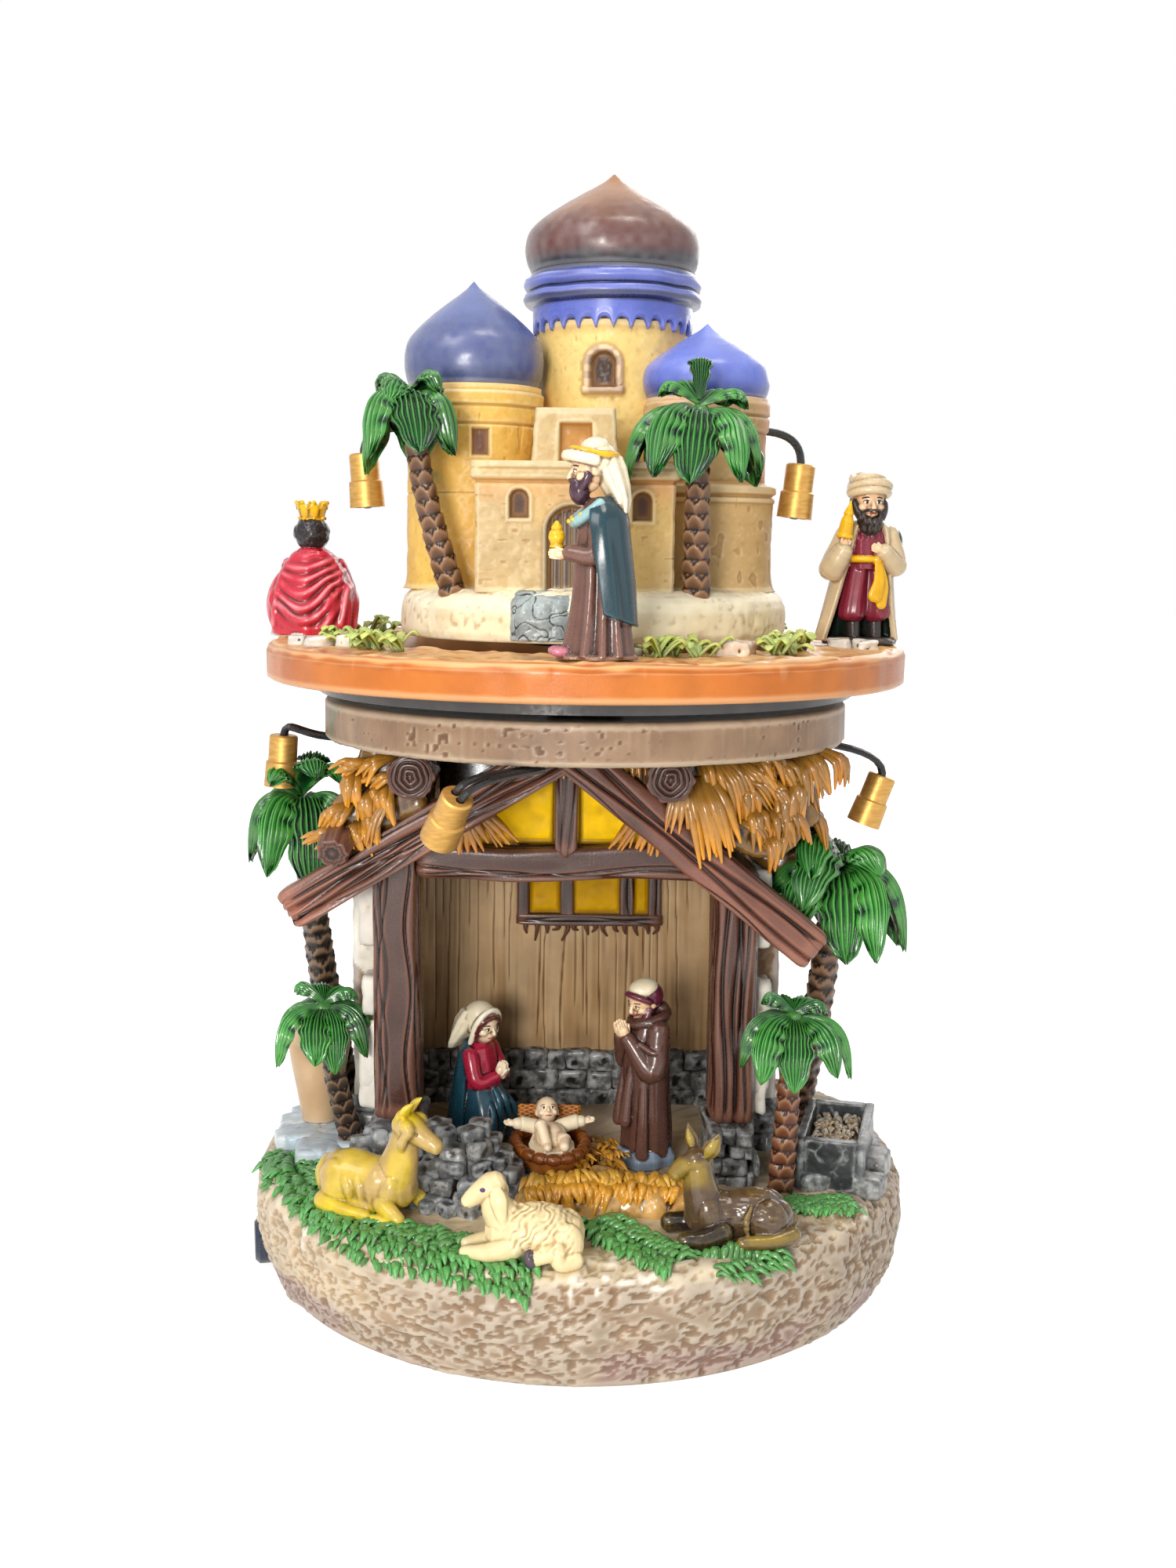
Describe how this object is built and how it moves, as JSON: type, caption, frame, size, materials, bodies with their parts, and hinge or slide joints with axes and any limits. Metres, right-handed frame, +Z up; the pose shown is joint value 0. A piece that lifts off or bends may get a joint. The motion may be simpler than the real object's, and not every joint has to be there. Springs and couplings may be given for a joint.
{
  "type": "musical nativity ornament",
  "caption": "Musical nativity ornament: a stable scene on a rock base, a turning ring with figures above its roof, a small domed castle on top, lamps and palms.",
  "frame": {"origin": "on the table, at the middle of the round base, which is also the turntable's axis", "axes": "+Z up along the turntable's axis, -Y towards the open front of the stable, +X to the viewer's right"},
  "size_m": [0.165, 0.158, 0.259],
  "materials": {
    "rock_resin": "cast resin painted as pitted pale rock",
    "sand_resin": "cast resin painted as sand-coloured plaster, dry brushed",
    "orange_resin": "cast resin painted as orange-tan earth",
    "plank_resin": "cast resin painted as pale planks with a varnish",
    "plaster_resin": "cast resin painted as worn white plaster",
    "stone_resin": "cast resin painted as grey stone blocks",
    "timber_resin": "cast resin painted as brown grooved timber, varnished",
    "straw_resin": "cast resin painted as amber straw",
    "amber_pane": "clear amber plastic",
    "maroon_gloss": "glossy brown-maroon paint",
    "blue_gloss": "glossy blue paint",
    "palm_resin": "cast resin, glossy green fronds on a brown trunk",
    "gold_shade": "gold-coloured metallised plastic",
    "clear_lamp": "clear moulded lamp",
    "black_cable": "black insulation, semi matt",
    "black_plastic": "moulded, fine grain",
    "navy_plastic": "glossy moulded",
    "white_plastic": "moulded gear plastic",
    "foot_rubber": "matt",
    "steel": "plated",
    "cell_sleeve": "plain printed sleeve, no lettering",
    "board_green": "solder resist",
    "teal_robe": "painted cast resin, varnished",
    "brown_robe": "painted cast resin, varnished",
    "ivory_cloth": "painted cast resin, varnished",
    "crimson_robe": "painted cast resin, varnished",
    "wicker_brown": "painted cast resin, varnished",
    "calf_yellow": "painted cast resin, varnished",
    "donkey_brown": "painted cast resin, varnished",
    "jar_tan": "painted cast resin, varnished"
  },
  "bodies": {
    "stand": {"base_shell": "rock_resin", "bottom_cover": "black_plastic", "rubber_feet": "foot_rubber", "fasteners": "steel", "batteries": "cell_sleeve", "battery_contacts": "steel", "circuit_board": "board_green", "speaker": "black_plastic", "switch_body": "black_plastic", "wire_harness": "black_cable", "back_wall": "plank_resin", "left_wall": "plaster_resin", "right_wall": "plaster_resin", "stone_footing": "stone_resin", "left_post": "timber_resin", "right_post": "timber_resin", "left_rafter": "timber_resin", "right_rafter": "timber_resin", "gable_frame": "timber_resin", "amber_windows": "amber_pane", "roof_logs": "timber_resin", "thatch": "straw_resin", "roof_slab": "rock_resin", "drive_motor": "steel", "castle_post": "black_plastic", "castle_plinth": "sand_resin", "gatehouse": "sand_resin", "tall_tower": "sand_resin", "tall_dome": "maroon_gloss", "left_tower": "sand_resin", "left_dome": "blue_gloss", "right_tower": "sand_resin", "right_dome": "blue_gloss", "castle_palm_left": "palm_resin", "castle_palm_right": "palm_resin", "roof_palm_left": "palm_resin", "roof_palm_right": "palm_resin", "ground_palm_left": "palm_resin", "ground_palm_right": "palm_resin", "lamp_shades": "gold_shade", "lamp_bulbs": "clear_lamp", "lamp_wires": "black_cable", "kneeling_woman": "teal_robe", "standing_man": "brown_robe", "infant": "ivory_cloth", "manger": "wicker_brown", "calf": "calf_yellow", "sheep": "ivory_cloth", "donkey": "donkey_brown", "water_jar": "jar_tan", "stone_trough": "stone_resin", "hay_bed": "straw_resin"},
    "turntable": {"carrier_disc": "black_plastic", "turntable_ring": "orange_resin", "king_red": "crimson_robe", "king_teal": "teal_robe", "king_white": "ivory_cloth"},
    "pinion": {"drive_pinion": "white_plastic"},
    "button": {"power_button": "navy_plastic"},
    "door": {"battery_door": "black_plastic"}
  },
  "joints": [
    {"name": "turntable_spin", "type": "hinge", "parent": "stand", "child": "turntable", "pos_m": [0, 0, 0.1383], "axis": [0, 0, 1], "continuous": true},
    {"name": "pinion_spin", "type": "hinge", "parent": "stand", "child": "pinion", "pos_m": [-0.024, 0, 0.1315], "axis": [0, 0, 1], "continuous": true},
    {"name": "button_press", "type": "slide", "parent": "stand", "child": "button", "axis": [0.9703, 0.2419, 0], "range_m": [0, 0.002], "stiffness_N_per_m": 300},
    {"name": "door_slide", "type": "slide", "parent": "stand", "child": "door", "axis": [0, 1, 0], "range_m": [0, 0.011]}
  ],
  "couplings": [
    {"joint": "pinion_spin", "follows": "turntable_spin", "ratio": -2.3333}
  ]
}
